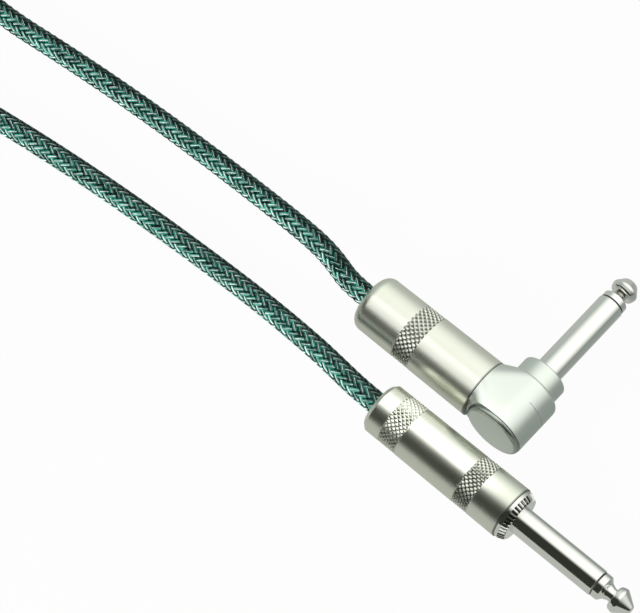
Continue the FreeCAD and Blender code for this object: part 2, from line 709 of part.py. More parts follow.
floor = cable_radius
angle_exit = FreeCAD.Vector(angle_x + angle_cable_rear, angle_y, angle_z)
straight_exit = FreeCAD.Vector(straight_x + straight_cable_rear, straight_y, straight_z)
angle_points = [
    angle_exit,
    angle_exit - x_axis * lead_first_run,
    FreeCAD.Vector(-62.0, -6.75, 6.5),
    FreeCAD.Vector(-69.5, -5.4, 5.5),
    FreeCAD.Vector(-80.0, -4.75, 4.0),
    FreeCAD.Vector(-92.5, -4.55, 2.9),
    FreeCAD.Vector(-107.5, -4.95, floor),
    FreeCAD.Vector(-124.5, -6.0, floor),
    FreeCAD.Vector(-140.0, -7.4, floor),
    FreeCAD.Vector(-152.5, -8.8, floor),
    FreeCAD.Vector(-161.4, -9.25, 3.6),
    FreeCAD.Vector(-173.3, -9.25, 8.3),
    FreeCAD.Vector(-183.5, -5.9, 15.3),
    coil_end + heading_out * angle_last_run,
    coil_end]
straight_points = [
    straight_exit,
    straight_exit - x_axis * lead_first_run,
    FreeCAD.Vector(-44.5, -25.2, 5.5),
    FreeCAD.Vector(-57.5, -24.4, 4.0),
    FreeCAD.Vector(-74.5, -24.4, 2.8),
    FreeCAD.Vector(-95.5, -25.4, floor),
    FreeCAD.Vector(-118.0, -27.35, floor),
    FreeCAD.Vector(-140.0, -30.15, floor),
    FreeCAD.Vector(-160.5, -33.6, floor),
    FreeCAD.Vector(-180.6, -39.0, 2.8),
    coil_start - heading_in * straight_last_run,
    coil_start]
lead_lengths = lead("angle_cable_lead", angle_points) + lead("straight_cable_lead", straight_points)
held = angle_jacket_end - angle_cable_rear + straight_jacket_end - straight_cable_rear
print("cable from jacket end to jacket end", round(lead_lengths + coil_length + held, 1))
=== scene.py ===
import math
import bmesh
import bpy
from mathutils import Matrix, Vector


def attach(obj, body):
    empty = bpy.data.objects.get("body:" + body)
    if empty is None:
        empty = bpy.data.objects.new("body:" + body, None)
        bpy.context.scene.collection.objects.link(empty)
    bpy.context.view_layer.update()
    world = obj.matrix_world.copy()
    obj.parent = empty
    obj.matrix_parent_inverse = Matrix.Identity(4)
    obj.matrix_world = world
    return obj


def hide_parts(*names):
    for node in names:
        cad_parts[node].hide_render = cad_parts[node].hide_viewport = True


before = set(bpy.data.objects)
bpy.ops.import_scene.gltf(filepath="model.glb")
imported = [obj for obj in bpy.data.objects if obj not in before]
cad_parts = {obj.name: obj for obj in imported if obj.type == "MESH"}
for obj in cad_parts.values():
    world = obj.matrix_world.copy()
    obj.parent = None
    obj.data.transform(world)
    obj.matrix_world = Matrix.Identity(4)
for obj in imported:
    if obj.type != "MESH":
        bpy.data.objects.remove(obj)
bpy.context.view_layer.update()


# The view: the photograph looks down on the plugs at 64 degrees, with the straight plug's axis running to the
# lower right and the cable's two ends leaving at the left.
def placed(name, data):
    """A new object in the scene, at the origin."""
    made = bpy.data.objects.new(name, data)
    bpy.context.scene.collection.objects.link(made)
    return made


def facing(place, target):
    """The rotation of a camera or a lamp at a place that points at its target."""
    return (target - place).to_track_quat("-Z", "Y").to_euler()


aim = Vector((-0.050325, -0.015075, 0))
view_turn = math.radians(41.9)
view_rise = math.radians(64)
view_distance = 0.6
camera = placed("camera", bpy.data.cameras.new("camera"))
camera.location = aim + view_distance * Vector((
    math.cos(view_rise) * math.sin(view_turn), -math.cos(view_rise) * math.cos(view_turn),
    math.sin(view_rise)))
camera.rotation_euler = facing(camera.location, aim)
camera.data.lens = 150.9
camera.data.sensor_width = 36
camera.data.clip_start = 0.05
camera.data.clip_end = 20
bpy.context.scene.camera = camera


# The cable: one shielded conductor in a round jacket, 5.1 mm over its braid and 3 m long. It comes out of the
# right-angle plug, lies along the floor to a tied coil, and comes back to the straight plug.
mm = 0.001
cable_radius = 2.55
jacket_radius = 2.2
angle_axis = (-8.825, 7.15)        # y and height of each barrel's axis
straight_axis = (-26.525, 6.25)
angle_jacket_end = -17.875
straight_jacket_end = -6.275
coil_middle = (-235.5, -11.0)
coil_inner, coil_outer = 20.8, 40.4
coil_floor, coil_rise = 3.35, 5.6
coil_layers, coil_steps_per_layer = 4, 14
coil_steps = coil_layers * coil_steps_per_layer
coil_enters, coil_leaves = math.radians(-78), math.radians(40)
coil_full_turns = 13
coil_angle = 2 * math.pi * coil_full_turns + (coil_enters - coil_leaves) % (2 * math.pi)
points_a_turn = 16
end_run = 2 * cable_radius         # the coil's ends run straight for one cable diameter
angle_last_point, straight_last_point = 17.8, 26.1     # before the coil's end and its start
on_floor = cable_radius


def coil_point(step, bulge=1.0):
    """The point that many steps of about a quarter turn into the coil, and its heading, in millimetres."""
    layer = min(int(step // coil_steps_per_layer), coil_layers - 1)
    share = step / coil_steps_per_layer - layer
    inward = layer % 2 == 0
    radius = (coil_outer - (coil_outer - coil_inner) * (share if inward else 1 - share)) * bulge
    slope = (coil_inner - coil_outer) * (1 if inward else -1) / coil_steps_per_layer
    nearest = round(step / coil_steps_per_layer)
    from_reversal = step - nearest * coil_steps_per_layer
    climbing = 0 < nearest < coil_layers and abs(from_reversal) < 1
    height = nearest - 0.5 + 0.5 * math.sin(from_reversal * math.pi / 2) if climbing else layer
    angle = coil_enters - step / coil_steps * coil_angle
    turn = coil_angle / coil_steps
    heading = Vector((
        slope * math.cos(angle) + radius * turn * math.sin(angle),
        slope * math.sin(angle) - radius * turn * math.cos(angle), 0)).normalized()
    return Vector((
        coil_middle[0] + radius * math.cos(angle), coil_middle[1] + radius * math.sin(angle),
        coil_floor + coil_rise * height)), heading


# The route's points, in millimetres. The part's source has the same ones, but for a few near the plugs, where
# these follow the photograph more closely.
coil_in, heading_in = coil_point(0)
coil_out, heading_out = coil_point(coil_steps)
angle_lead = [
    (angle_jacket_end, *angle_axis), (-36.0, *angle_axis), (-47.0, *angle_axis), (-52.0, -7.45, 7.6),
    (-58.0, -6.2, 7.3), (-67.0, -5.5, 6.1), (-79.5, -4.8, 4.1), (-92.5, -4.55, 2.9),
    (-107.5, -4.95, on_floor), (-124.5, -6.0, on_floor), (-140.0, -7.4, on_floor), (-152.5, -8.8, on_floor),
    (-161.4, -9.25, 3.6), (-173.3, -9.25, 8.3), (-183.5, -5.9, 15.3),
    coil_out + heading_out * angle_last_point, coil_out + heading_out * end_run]
straight_lead = [
    (straight_jacket_end, *straight_axis), (-20.0, *straight_axis), (-29.0, *straight_axis),
    (-35.5, -25.9, 6.1), (-43.5, -25.2, 5.75), (-58.5, -24.4, 4.1), (-74.5, -24.4, 2.8),
    (-95.5, -25.4, on_floor), (-118.0, -27.35, on_floor), (-140.0, -30.15, on_floor),
    (-160.5, -33.6, on_floor), (-180.6, -39.0, 2.8),
    coil_in - heading_in * straight_last_point, coil_in - heading_in * end_run]
# The line cuts inside its points, so the coil's points stand further out by a bulge.
coil_points = round(coil_angle / (2 * math.pi) * points_a_turn)
half_step = coil_angle / coil_points / 2
bulge = 1 / ((3 + math.cos(2 * half_step)) / 8 + math.cos(half_step) / 2)
coil = [coil_point(coil_steps * (1 - i / coil_points), bulge)[0] for i in range(coil_points + 1)]
route = [Vector(point) * mm for point in angle_lead + coil + straight_lead[::-1]]

cable_curve = bpy.data.curves.new("cable_jacket", "CURVE")
cable_curve.dimensions = "3D"
cable_curve.twist_mode = "Z_UP"
cable_curve.resolution_u = 8
cable_line = cable_curve.splines.new("NURBS")
cable_line.points.add(len(route) - 1)
for point, place in zip(cable_line.points, route):
    point.co = (*place, 1)
cable_line.order_u = 3
cable_line.use_endpoint_u = True
cable = placed("cable_jacket", cable_curve)
path = [vertex.co.copy() for vertex in bpy.data.meshes.new_from_object(cable).vertices]
cable_curve.bevel_depth = jacket_radius * mm
cable_curve.bevel_resolution = 4
cable_curve.use_fill_caps = True


class Socket:
    """A socket of a node tree. Sums on it add Math nodes to its tree."""

    def __init__(self, tree, socket):
        self.tree = tree
        self.socket = socket

    def math(self, operation, *others):
        return self.tree.node("ShaderNodeMath", {"operation": operation}, dict(enumerate((self, *others))))

    def __add__(self, other):
        return self.math("ADD", other)

    def __radd__(self, other):
        return self.math("ADD", other)

    def __sub__(self, other):
        return self.math("SUBTRACT", other)

    def __rsub__(self, other):
        return self.tree.node("ShaderNodeMath", {"operation": "SUBTRACT"}, {0: other, 1: self})

    def __mul__(self, other):
        return self.math("MULTIPLY", other)

    def __rmul__(self, other):
        return self.math("MULTIPLY", other)

    def __truediv__(self, other):
        return self.math("DIVIDE", other)


class Tree:
    """A node tree that is written as sums on its sockets."""

    def __init__(self, tree):
        self.tree = tree
        self.tree.nodes.clear()

    def node(self, kind, settings=None, values=None, out=0):
        """Adds a node, sets it up, feeds its sockets and gives one of its outputs."""
        made = self.tree.nodes.new(kind)
        for name, value in (settings or {}).items():
            setattr(made, name, value)
        for key, value in (values or {}).items():
            if isinstance(value, Socket):
                self.tree.links.new(value.socket, made.inputs[key])
            else:
                made.inputs[key].default_value = value
        return Socket(self, made.outputs[out]) if made.outputs else None


def finish(name, sockets, metal=0.0):
    """A new material: its tree, and a Principled shader whose plain sockets are set."""
    material = bpy.data.materials.new(name)
    material.use_nodes = True
    tree = Tree(material.node_tree)
    shader = tree.node("ShaderNodeBsdfPrincipled", {}, {"Metallic": metal, **sockets})
    tree.node("ShaderNodeOutputMaterial", {}, {"Surface": shader})
    tree.shader = shader.socket.node
    return material, tree


def feed(tree, socket, value):
    """Links a varying value to one of the Principled shader's sockets."""
    tree.tree.links.new(value.socket, tree.shader.inputs[socket])


def shade_between(tree, share, low, high):
    """A colour between two, each a plain colour or a socket, by a share from 0 to 1."""
    low, high = (shade if isinstance(shade, Socket) else (*shade, 1) for shade in (low, high))
    return tree.node("ShaderNodeMix", {"data_type": "RGBA"}, {0: share, 6: low, 7: high}, 2)


def blotches(tree, grain):
    """Soft noise, 0 to 1, with features of that many millimetres."""
    place = tree.node("ShaderNodeTexCoord", out=3)
    return tree.node("ShaderNodeTexNoise", {}, {"Vector": place, "Scale": 1000 / grain, "Detail": 3.0})


def mottled(name, grain, low, high, rough, metal=0.0, painted_shade_look=None):
    """A finish that varies softly between two colours. Its roughness is one number or (grain, spread, least),
    and its painted shade a colour and a share, laid where a mesh's attribute marks it."""
    material, tree = finish(name, {} if isinstance(rough, tuple) else {"Roughness": rough}, metal)
    colour = shade_between(tree, blotches(tree, grain), low, high)
    if painted_shade_look:
        # Painted shade: the colour darkens where the mesh's attribute marks recesses, seams or a rim.
        painted_shade = tree.node("ShaderNodeAttribute", {"attribute_name": "painted_shade"}, out=2)
        colour = shade_between(tree, painted_shade * painted_shade_look[1], colour, painted_shade_look[0])
    feed(tree, "Base Color", colour)
    if isinstance(rough, tuple):
        feed(tree, "Roughness", blotches(tree, rough[0]) * rough[1] + rough[2])
    return material


def put_on_slot(piece, material):
    piece.data.materials.clear()
    piece.data.materials.append(material)


jacket = mottled("dark jacket under the braid", 3, (0.004, 0.008, 0.007), (0.012, 0.03, 0.025), 0.55)
put_on_slot(cable, jacket)


# The braid: 24 carriers of glossy filament, 12 winding each way over two and under two of the others. Each
# carrier lays four yarns side by side: two green, one white and one black.
lay_length = 22.9
carriers = 12
carrier_width = 1.08
carrier_radius = 2.38
carrier_lift = 0.14
yarn_sink = 0.1                    # how far a yarn's two edges lie below its carrier's radius
braid_angle = math.radians(35)
carrier_shift, hand_shift, yarn_shift = 7.3, 3, 5      # each yarn has its own stretch of the noise
noise_scale, noise_low, noise_high = 0.4, 0.38, 0.62


def open_group(name, kinds):
    """A new node group for geometry: its tree, which knows its inputs' identifiers, and its inputs."""
    tree = Tree(bpy.data.node_groups.new(name, "GeometryNodeTree"))
    tree.identifiers = {}
    for title, kind in kinds.items():
        tree.identifiers[title] = tree.tree.interface.new_socket(
            title, in_out="INPUT", socket_type="NodeSocket" + kind).identifier
    tree.tree.interface.new_socket("Geometry", in_out="OUTPUT", socket_type="NodeSocketGeometry")
    given = tree.node("NodeGroupInput").socket.node
    return tree, {title: Socket(tree, given.outputs[title]) for title in kinds}


def put_on_group(piece, tree, values):
    """Adds a node group to an object as a modifier, with the values of its inputs."""
    modifier = piece.modifiers.new(tree.tree.name, "NODES")
    modifier.node_group = tree.tree
    for title, value in values.items():
        modifier[tree.identifiers[title]] = value


def mesh_of(stock):
    """The plain mesh that an object's modifiers make. The object itself goes."""
    bpy.context.view_layer.update()
    made = bpy.data.meshes.new_from_object(stock.evaluated_get(bpy.context.evaluated_depsgraph_get()))
    bpy.data.objects.remove(stock)
    return made


def ramp(tree, value, low, high, start=0.0, end=1.0, kind="LINEAR"):
    """A number that goes from start to end as the value goes from low to high."""
    return tree.node("ShaderNodeMapRange", {"interpolation_type": kind}, {
        0: value, 1: low, 2: high, 3: start, 4: end})


braid, asked = open_group("yarns of one colour", {
    "Path": "Geometry", "Crossings": "Int", "Samples": "Int", "Crossings before": "Int", "Hand": "Float",
    "Place in carrier": "Float", "Yarn width": "Float", "Crown": "Float", "Facets": "Int",
    "Material": "Material"})


def vector_math(operation, *values):
    return braid.node("ShaderNodeVectorMath", {"operation": operation}, dict(enumerate(values)))


def scaled(vector, number):
    return braid.node("ShaderNodeVectorMath", {"operation": "SCALE"}, {0: vector, 3: number})


count = asked["Crossings"] * asked["Samples"] + 1
line = braid.node("GeometryNodeMeshToCurve", {}, {0: asked["Path"]})
line = braid.node("GeometryNodeResampleCurve", {}, {"Curve": line, "Count": count})
copies = braid.node("GeometryNodeDuplicateElements", {"domain": "SPLINE"}, {
    "Geometry": line, "Amount": carriers})
carrier = Socket(braid, copies.socket.node.outputs[1])
tangent = braid.node("GeometryNodeInputTangent")
sideways = vector_math("NORMALIZE", vector_math("CROSS_PRODUCT", tangent, (0, 0, 1)))
upward = vector_math("CROSS_PRODUCT", sideways, tangent)
index = braid.node("GeometryNodeSplineParameter", out=2)
crossing = index / asked["Samples"] + asked["Crossings before"]
hand = asked["Hand"]
turn = crossing * hand * (math.pi / carriers) + carrier * (2 * math.pi / carriers)
turn = turn + asked["Place in carrier"] * (carrier_width / carrier_radius / math.cos(braid_angle))
wave = (crossing * hand + carrier * 2 - 0.5) * (math.pi / 2)
lift = wave.math("COSINE") * hand * carrier_lift
outward = vector_math("ADD", scaled(upward, turn.math("COSINE")), scaled(sideways, turn.math("SINE")))
stored = braid.node("GeometryNodeStoreNamedAttribute", {"data_type": "FLOAT_VECTOR", "domain": "POINT"}, {
    "Geometry": copies, "Name": "outward", "Value": outward})
stored = braid.node("GeometryNodeStoreNamedAttribute", {"data_type": "FLOAT_VECTOR", "domain": "POINT"}, {
    "Geometry": stored, "Name": "yarn", "Value": braid.node("ShaderNodeCombineXYZ", {}, {
        0: crossing, 1: carrier * carrier_shift,
        2: hand * hand_shift + asked["Place in carrier"] * yarn_shift})})
moved = braid.node("GeometryNodeSetPosition", {}, {
    "Geometry": stored, "Offset": scaled(outward, (lift + carrier_radius) * mm)})
faced = braid.node("GeometryNodeSetCurveNormal", {"mode": "FREE"}, {
    "Curve": moved, "Normal": braid.node("GeometryNodeInputNamedAttribute", {"data_type": "FLOAT_VECTOR"}, {
        "Name": "outward"})})
half = asked["Yarn width"] * (mm / 2)
profile = braid.node("GeometryNodeCurveArc", {"mode": "POINTS"}, {
    "Resolution": asked["Facets"],
    "Start": braid.node("ShaderNodeCombineXYZ", {}, {0: -yarn_sink * mm, 1: -1 * half}),
    "Middle": braid.node("ShaderNodeCombineXYZ", {}, {0: asked["Crown"] * mm}),
    "End": braid.node("ShaderNodeCombineXYZ", {}, {0: -yarn_sink * mm, 1: half})})
yarns = braid.node("GeometryNodeCurveToMesh", {}, {"Curve": faced, "Profile Curve": profile})
yarns = braid.node("GeometryNodeSetShadeSmooth", {}, {"Geometry": yarns})
yarns = braid.node("GeometryNodeRealizeInstances", {}, {"Geometry": yarns})
yarns = braid.node("GeometryNodeSetMaterial", {}, {"Geometry": yarns, "Material": asked["Material"]})
braid.node("NodeGroupOutput", {}, {0: yarns})

yarn_finishes = {}
for name, dark, light, rough in (
        ("green", (0.001, 0.014, 0.011), (0.075, 0.39, 0.295), 0.36),
        ("white", (0.22, 0.36, 0.32), (0.98, 1.0, 0.98), 0.36),
        ("black", (0.0005, 0.002, 0.002), (0.003, 0.03, 0.022), 0.45)):
    yarn_finishes[name], tree = finish(name + " yarn", {"Roughness": rough, "Specular IOR Level": 0.16})
    place = tree.node("ShaderNodeAttribute", {"attribute_name": "yarn"}, out=1)
    noise = tree.node("ShaderNodeTexNoise", {}, {"Vector": place, "Scale": noise_scale, "Detail": 3.0})
    feed(tree, "Base Color", shade_between(tree, ramp(tree, noise, noise_low, noise_high), dark, light))


def nearest_on_path(place):
    """The number of the line's point that is nearest to a place in millimetres."""
    return min(range(len(path)), key=lambda i: (path[i] - place * mm).length)


coil_first, coil_last = nearest_on_path(coil[0]), nearest_on_path(coil[-1])
# name, line, samples a crossing, facets across a yarn
stretches = (
    ("angle_lead", path[:coil_first + 1], 2, 3), ("coil", path[coil_first:coil_last + 1], 1, 2),
    ("straight_lead", path[coil_last:], 2, 3))
# hand, place across the carrier, width, crown, colour
yarn_set = (
    (1, -0.36, 0.30, 0.09, "green"), (1, -0.1, 0.19, 0.13, "white"), (1, 0.13, 0.24, 0.09, "green"),
    (1, 0.39, 0.27, 0.07, "black"),
    (-1, -0.39, 0.28, 0.07, "black"), (-1, -0.12, 0.24, 0.09, "green"), (-1, 0.11, 0.18, 0.13, "white"),
    (-1, 0.37, 0.30, 0.09, "green"))
coil_yarns_a_piece = 2
crossings_before = 0
for stretch, places, samples, facets in stretches:
    thread = bpy.data.meshes.new(stretch)
    thread.from_pydata(places, [(i, i + 1) for i in range(len(places) - 1)], [])
    length = sum((b - a).length for a, b in zip(places, places[1:]))
    crossings = round(length / mm / lay_length * 2 * carriers)
    for colour, material in yarn_finishes.items():
        parts = []
        for hand_of, place_in, width, crown, yarn_colour in yarn_set:
            if yarn_colour == colour:
                strand = placed("strand", thread)
                put_on_group(strand, braid, {
                    "Crossings": crossings, "Samples": samples, "Hand": float(hand_of),
                    "Crossings before": crossings_before, "Place in carrier": place_in,
                    "Yarn width": width, "Crown": crown, "Facets": facets, "Material": material})
                parts.append(mesh_of(strand))
        together = coil_yarns_a_piece if stretch == "coil" else len(parts)
        for number in range(0, len(parts), together):
            work = bmesh.new()
            for mesh in parts[number:number + together]:
                work.from_mesh(mesh)
            work.to_mesh(parts[number])
            work.free()
            piece = placed(f"braid_{stretch}_{colour}_{number + 1}", parts[number])
            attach(piece, "cable_and_plugs")
    crossings_before += crossings
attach(cable, "cable_and_plugs")
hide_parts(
    "angle_cable_lead", "straight_cable_lead", "cable_coil", "angle_cable_end", "straight_cable_end")


# Inside the plugs: lugs of tinned brass, washers of pressed fibre, the conductor and the shield's tail under
# their solder, the collar staked on each rod, and a plastic liner in each barrel. Their solids have the real
# shapes, so a smoothed copy of each is shown.
def worn_by(node, mesh, body, material, corner=32):
    """Shows a mesh in its finish for a node. Edges that turn by more degrees than the corner stay sharp."""
    mesh.shade_smooth()
    mesh.set_sharp_from_angle(angle=math.radians(corner))
    piece = placed(node + "_piece", mesh)
    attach(piece, body)
    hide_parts(node)
    put_on_slot(piece, material)


def dress(node, body, material):
    """Shows a copy of a node's solid, with its doubles merged and its curves smooth, in its finish."""
    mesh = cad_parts[node].data.copy()
    work = bmesh.new()
    work.from_mesh(mesh)
    bmesh.ops.remove_doubles(work, verts=work.verts, dist=2e-6)
    work.to_mesh(mesh)
    work.free()
    worn_by(node, mesh, body, material, corner=35)


# Its dark colour is painted shade, laid in the gaps between the flange's teeth.
polished = mottled("polished nickel", 8, (0.76, 0.77, 0.73), (0.80, 0.80, 0.77), (6, 0.03, 0.1), metal=1.0,
                   painted_shade_look=((0.02, 0.022, 0.018), 0.95))
fibre = mottled("pressed fibre", 0.5, (0.35, 0.13, 0.05), (0.5, 0.22, 0.1), 0.7)
clear_tube = mottled("liner plastic", 3, (0.74, 0.74, 0.70), (0.84, 0.84, 0.80), 0.45)
tinned = mottled("tinned brass", 1.5, (0.70, 0.66, 0.52), (0.80, 0.78, 0.70), (0.8, 0.2, 0.25), metal=1.0)
solder = mottled("solder", 0.7, (0.55, 0.56, 0.57), (0.74, 0.75, 0.76), (0.4, 0.3, 0.2), metal=1.0)
core = mottled("core insulation", 1, (0.80, 0.79, 0.74), (0.88, 0.87, 0.83), 0.4)
copper = mottled("twisted bare copper", 0.4, (0.62, 0.32, 0.18), (0.80, 0.48, 0.30), (0.3, 0.3, 0.3),
                 metal=1.0)
for plug in ("straight", "angle"):
    body = "cable_and_plugs"
    dress(plug + "_rod_rivet", body, polished)
    dress(plug + "_rear_insulator", body, fibre)
    dress(plug + "_tip_terminal", body, tinned)
    dress(plug + "_ground_terminal", body, tinned)
    dress(plug + "_core_wire", body, core)
    dress(plug + "_shield_tail", body, copper)
    dress(plug + "_solder_joints", body, solder)
    dress(plug + "_liner", plug + "_travel", clear_tube)


# The contacts: each sleeve and each tip is turned from brass bar and plated with bright nickel. The straight
# plug's sleeve has a flange with pressed teeth, and a boss with a thread that the barrel screws on. A black
# plastic ring keeps tip and sleeve apart.
straight_place = (17.175, *straight_axis)
angle_place = (-0.375, *angle_axis)
shaft_radius, shaft_edge = 3.175, 0.25
rod_way, ring_way = 1.9, 2.3       # a sleeve's bore round the rod, and round the ring's tube
spigot_radius = 2.6
straight_boss, straight_boss_rear, straight_boss_front = 5.2, -7.95, -2.25
flange_radius, flange_rear, flange_fall, flange_rows, flange_rim = 6.0, -1.45, 0.5, 6, 4.6
teeth, tooth_depth, gap_share, columns_a_tooth = 38, 0.5, 0.66, 8
teeth_rear, teeth_length, teeth_front = -1.449, 1.149, -0.1
angle_sleeve_flange, angle_sleeve_body = 4.8, 3.9
rod_radius, collar_radius, waist_radius, tip_neck_radius = 1.2, 3.0, 2.0, 1.55
bulb_rear_radius, bulb_radius = 2.7, 3.15
ring_bore, ring_tube, ring_flange = 1.25, 2.25, 2.95
thread_depth, thread_pitch, thread_run_out, thread_slope = 0.32, 1.0, 0.3, 2.6
row_spacing = 0.125
long_edge, edge_hold = 0.5, 0.1


def bent(corners, steps=6, closed=False):
    """The points of an outline of (x, radius, bend) corners, each rounded to its bend radius. A long straight
    edge gets a point near each of its ends, so that its shading stays flat between them."""
    points = []
    for i, (x, radius, bend) in enumerate(corners):
        here = Vector((x, radius))
        if not bend:
            points.append((x, radius))
            continue
        before = (Vector(corners[i - 1][:2]) - here).normalized()
        after = (Vector(corners[(i + 1) % len(corners)][:2]) - here).normalized()
        half_turn = (math.pi - before.angle(after)) / 2
        middle = here + (before + after).normalized() * bend / math.cos(half_turn)
        start = here + before * bend * math.tan(half_turn) - middle
        sweep = start.angle_signed(here + after * bend * math.tan(half_turn) - middle)
        for k in range(steps + 1):
            a = -sweep * k / steps
            points.append((middle.x + start.x * math.cos(a) - start.y * math.sin(a),
                           middle.y + start.x * math.sin(a) + start.y * math.cos(a)))
    held = []
    for i, ((x0, r0), (x1, r1)) in enumerate(zip(points, points[1:] + points[:1])):
        held.append((x0, r0))
        length = math.hypot(x1 - x0, r1 - r0)
        if length > long_edge and (closed or i < len(points) - 1):
            held += [(x0 + (x1 - x0) * share, r0 + (r1 - r0) * share)
                     for share in (edge_hold / length, 1 - edge_hold / length)]
    return held


def turned(outline, sides, place, along="x", shape=None):
    """A solid turned about the X or Y axis from (x, radius) points in order, moved to its place."""
    work = bmesh.new()
    rings = []
    for x, radius in outline:
        ring = []
        for i in range(sides if radius > 0 else 1):
            a = 2 * math.pi * i / sides
            r = shape(x, radius, a) if shape else radius
            across, above = r * math.cos(a), r * math.sin(a)
            spot = (x, across, above) if along == "x" else (-across, x, above)
            ring.append(work.verts.new([(spot[k] + place[k]) * mm for k in range(3)]))
        rings.append(ring)
    for ring, following in zip(rings, rings[1:] + rings[:1]):
        for i in range(sides if len(ring) + len(following) > 2 else 0):
            j = (i + 1) % sides
            corners = (ring[i % len(ring)], following[i % len(following)], following[j % len(following)],
                       ring[j % len(ring)])
            work.faces.new(list(dict.fromkeys(corners)))
    bmesh.ops.recalc_face_normals(work, faces=work.faces)
    mesh = bpy.data.meshes.new("turned")
    work.to_mesh(mesh)
    work.free()
    return mesh


def threaded(x, radius, a, rear, front):
    """The radius inside a helical groove between rear and front."""
    if not rear < x < front:
        return radius
    share = min(1, (x - rear) / thread_run_out, (front - x) / thread_run_out)
    turn = (x / thread_pitch - a / (2 * math.pi)) % 1
    return radius - thread_depth * share * max(0, 1 - abs(turn - 0.5) * thread_slope)


def rows(rear, front, radius):
    """Close rows of points between rear and front, for a thread."""
    count = round((front - rear) / row_spacing)
    return [(rear + (front - rear) * i / count, radius) for i in range(1, count)]


def gap_at(x, a):
    """How deep in a gap between two teeth of the flange a point is, 0 to 1."""
    off_gap = abs((a * teeth / (2 * math.pi) + 0.5) % 1 - 0.5) / (gap_share / 2)
    return max(0, 1 - off_gap * off_gap) if flange_rear < x < teeth_front else 0


def flange_and_thread(x, radius, a):
    if x > flange_rear and radius > straight_boss:
        return radius - tooth_depth * gap_at(x, a)
    on_boss = abs(radius - straight_boss) < 0.01
    return threaded(x, radius, a, rear=-7.9, front=-2.35) if on_boss else radius


straight_sleeve = bent([
    (-9.35, rod_way, 0), (-9.35, spigot_radius, 0), (-8.25, spigot_radius, 0), (-8.25, 4.9, 0),
    (straight_boss_rear, straight_boss, 0)])
straight_sleeve += rows(straight_boss_rear, straight_boss_front, straight_boss)
straight_sleeve += [
    (straight_boss_front, straight_boss), (straight_boss_front, flange_radius), (flange_rear, flange_radius)]
straight_sleeve += [
    (teeth_rear + teeth_length * i / flange_rows, flange_radius - flange_fall * i / flange_rows)
    for i in range(flange_rows + 1)]
straight_sleeve += [(-0.15, 5.35)]
straight_sleeve += bent([
    (0, straight_boss, 0), (0, shaft_radius, 0), (21.4, shaft_radius, shaft_edge), (21.4, ring_way, 0),
    (15.4, ring_way, 0), (15.4, rod_way, 0)])
toothed = turned(straight_sleeve, teeth * columns_a_tooth, straight_place, shape=flange_and_thread)
# Painted shade in the gaps between the flange's teeth, on its rim.
painted_gap_shade = toothed.attributes.new("painted_shade", "FLOAT", "POINT")
for i, vert in enumerate(toothed.vertices):
    x, across, above = (vert.co[k] / mm - straight_place[k] for k in range(3))
    on_rim = math.hypot(across, above) > flange_rim
    painted_gap_shade.data[i].value = gap_at(x, math.atan2(above, across)) if on_rim else 0
worn_by("straight_sleeve_contact", toothed, "cable_and_plugs", polished)

angle_sleeve = bent([
    (3.1, rod_way, 0), (3.1, spigot_radius, 0), (4.2, spigot_radius, 0), (4.2, angle_sleeve_flange, 0),
    (5.4, angle_sleeve_flange, 0), (5.4, angle_sleeve_body, 0), (11.8, angle_sleeve_body, 0),
    (11.8, shaft_radius, 0), (34.2, shaft_radius, shaft_edge), (34.2, ring_way, 0), (28.2, ring_way, 0),
    (28.2, rod_way, 0)], closed=True)
worn_by("angle_sleeve_contact", turned(angle_sleeve, 128, angle_place, "y"), "cable_and_plugs",
        polished)

black_plastic = mottled("glossy black plastic", 2, (0.05, 0.05, 0.045), (0.09, 0.085, 0.08), 0.3)
# plug, its place and direction, the shaft's end, and of the tip: how far its rod reaches back, how much
# further back its waist and its neck lie, how much wider its bulb is, its length, its end's radius and bend
for plug, place, along, front, rod, waist, back, swell, length, end_radius, end_bend in (
        ("straight", straight_place, "x", 21.4, 32.55, 0, 0, 0, 9.1, 0.85, 0.6),
        ("angle", angle_place, "y", 34.2, 32.9, 0.3, 0.9, 0.1, 7.4, 1.6, 1.5)):
    tip_outline = bent([
        (-rod, 0, 0), (-rod, rod_radius, 0), (0.35, rod_radius, 0), (0.35, collar_radius, 0),
        (1.75, collar_radius, 0.35), (2.6 - waist, waist_radius, 0.6), (3.7 - back, tip_neck_radius, 0.4),
        (4.3 - back, tip_neck_radius, 0), (4.4 - back, bulb_rear_radius + swell, 0.7),
        (5.9 - back, bulb_radius + swell, 0.9), (length, end_radius, end_bend), (length, 0, 0)])
    ring_outline = bent([
        (-5.7, ring_bore, 0), (-5.7, ring_tube, 0), (0, ring_tube, 0), (0, ring_flange, 0),
        (0.35, ring_flange, 0.08), (0.35, ring_bore, 0)], closed=True)
    for kind, outline, sides, slot, material in (
            ("_tip_contact", tip_outline, 112, "contact", polished),
            ("_front_insulator", ring_outline, 96, "insulator", black_plastic)):
        mesh = turned([(x + front, radius) for x, radius in outline], sides, place, along)
        worn_by(plug + kind, mesh, "cable_and_plugs", material)


# The elbow: a zinc casting with a drum, a neck and a threaded boss, plated satin nickel. A turned cap closes
# the drum, and the sleeve is pressed into its nose.
drum_radius, drum_front = 7.15, 7.2
neck_radius, neck_rear = 7.05, -7.6
nose_radius, nose_front = 5.5, 11.8
chamber_radius, sleeve_bore = 5.2, 3.95
angle_boss, angle_boss_bore, angle_boss_rear, angle_boss_edge = 5.9, 5.0, -13.0, -12.7
cap_radius, cap_joint, cap_spigot = 7.05, -5.5, 5.15
cast_sides, bore_sides = 160, 96
reach = 9                          # outside the drum, for the blocks that cut it
# The cap's rim gets a band of painted shade: how dark it is, where it starts and how wide it is.
painted_rim_shade_share, painted_rim_shade_starts, painted_rim_shade_width = 0.6, 6.15, 0.9


